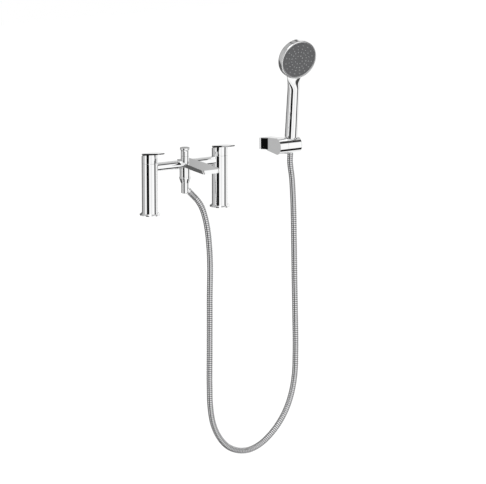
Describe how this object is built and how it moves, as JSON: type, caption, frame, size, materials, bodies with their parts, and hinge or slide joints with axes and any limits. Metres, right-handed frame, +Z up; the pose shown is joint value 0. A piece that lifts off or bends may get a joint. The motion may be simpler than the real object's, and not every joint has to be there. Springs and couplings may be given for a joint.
{
  "type": "bath shower mixer",
  "caption": "Deck-mounted bath filler with lever valves, a flat blade spout, a lift diverter, a metal hose and a round shower handset in a swivelling wall bracket.",
  "frame": {"origin": "on the deck plane, midway between the axes of the two pillars", "axes": "+X from the hot pillar to the cold one, -Y the way the spout points, +Y towards the wall, +Z up"},
  "size_m": [0.447, 0.192, 0.955],
  "materials": {
    "chrome": "polished chrome plate",
    "plated_plastic": "chrome-plated plastic",
    "hose_metal": "bright wound metal strip",
    "brass": "machined",
    "steel": "plain",
    "rubber": "matte",
    "pale_rubber": "satin",
    "ceramic": "lapped",
    "grey_plastic": "satin",
    "white_plastic": "satin",
    "red_plastic": "gloss",
    "blue_plastic": "gloss"
  },
  "bodies": {
    "mixer_and_bracket": {"hot_pillar": "chrome", "hot_base_flange": "chrome", "hot_base_gasket": "rubber", "hot_cartridge_body": "brass", "hot_fixed_disc": "ceramic", "hot_seat_seal": "rubber", "cold_pillar": "chrome", "cold_base_flange": "chrome", "cold_base_gasket": "rubber", "cold_cartridge_body": "brass", "cold_fixed_disc": "ceramic", "cold_seat_seal": "rubber", "bridge": "chrome", "spout": "chrome", "flow_straightener": "white_plastic", "diverter_bonnet": "chrome", "elbow_nut": "chrome", "elbow": "chrome", "elbow_washer": "rubber", "hose_collar": "chrome", "hose_ferrule": "chrome", "hose_inlet_washer": "rubber", "hose": "hose_metal", "wall_plate": "steel", "bracket_body": "chrome", "bracket_grub_screw": "steel", "pivot_bolt": "steel", "friction_washer": "steel"},
    "hot_lever": {"hot_handle": "chrome", "hot_spindle": "steel", "hot_moving_disc": "ceramic", "hot_grub_screw": "steel", "hot_index_plug": "red_plastic"},
    "cold_lever": {"cold_handle": "chrome", "cold_spindle": "steel", "cold_moving_disc": "ceramic", "cold_grub_screw": "steel", "cold_index_plug": "blue_plastic"},
    "diverter": {"diverter_knob": "chrome", "diverter_rod": "steel", "diverter_plug": "brass", "diverter_seal": "rubber"},
    "holder": {"holder": "chrome"},
    "handset": {"handset_shell": "plated_plastic", "handset_bezel": "plated_plastic", "spray_plate": "grey_plastic", "nozzle_mat": "pale_rubber", "water_distributor": "white_plastic", "handset_connector": "brass", "flow_limiter": "grey_plastic", "hose_nut": "chrome", "hose_washer": "rubber", "hose_upper": "hose_metal"}
  },
  "joints": [
    {"name": "hot_turn", "type": "hinge", "parent": "mixer_and_bracket", "child": "hot_lever", "pos_m": [-0.09, 0, 0.118], "axis": [0, 0, 1], "range_deg": [-90, 0]},
    {"name": "cold_turn", "type": "hinge", "parent": "mixer_and_bracket", "child": "cold_lever", "pos_m": [0.09, 0, 0.118], "axis": [0, 0, 1], "range_deg": [0, 90]},
    {"name": "diverter_lift", "type": "slide", "parent": "mixer_and_bracket", "child": "diverter", "axis": [0, 0, 1], "range_m": [0, 0.01]},
    {"name": "holder_swivel", "type": "hinge", "parent": "mixer_and_bracket", "child": "holder", "pos_m": [0.2713, 0.018, 0.117], "axis": [1, 0, 0], "range_deg": [-12, 20], "deforming": ["hose", "hose_upper"]},
    {"name": "handset_lift", "type": "slide", "parent": "holder", "child": "handset", "axis": [0, -0.0872, 0.9962], "range_m": [0, 0.042], "deforming": ["hose", "hose_upper"]}
  ]
}
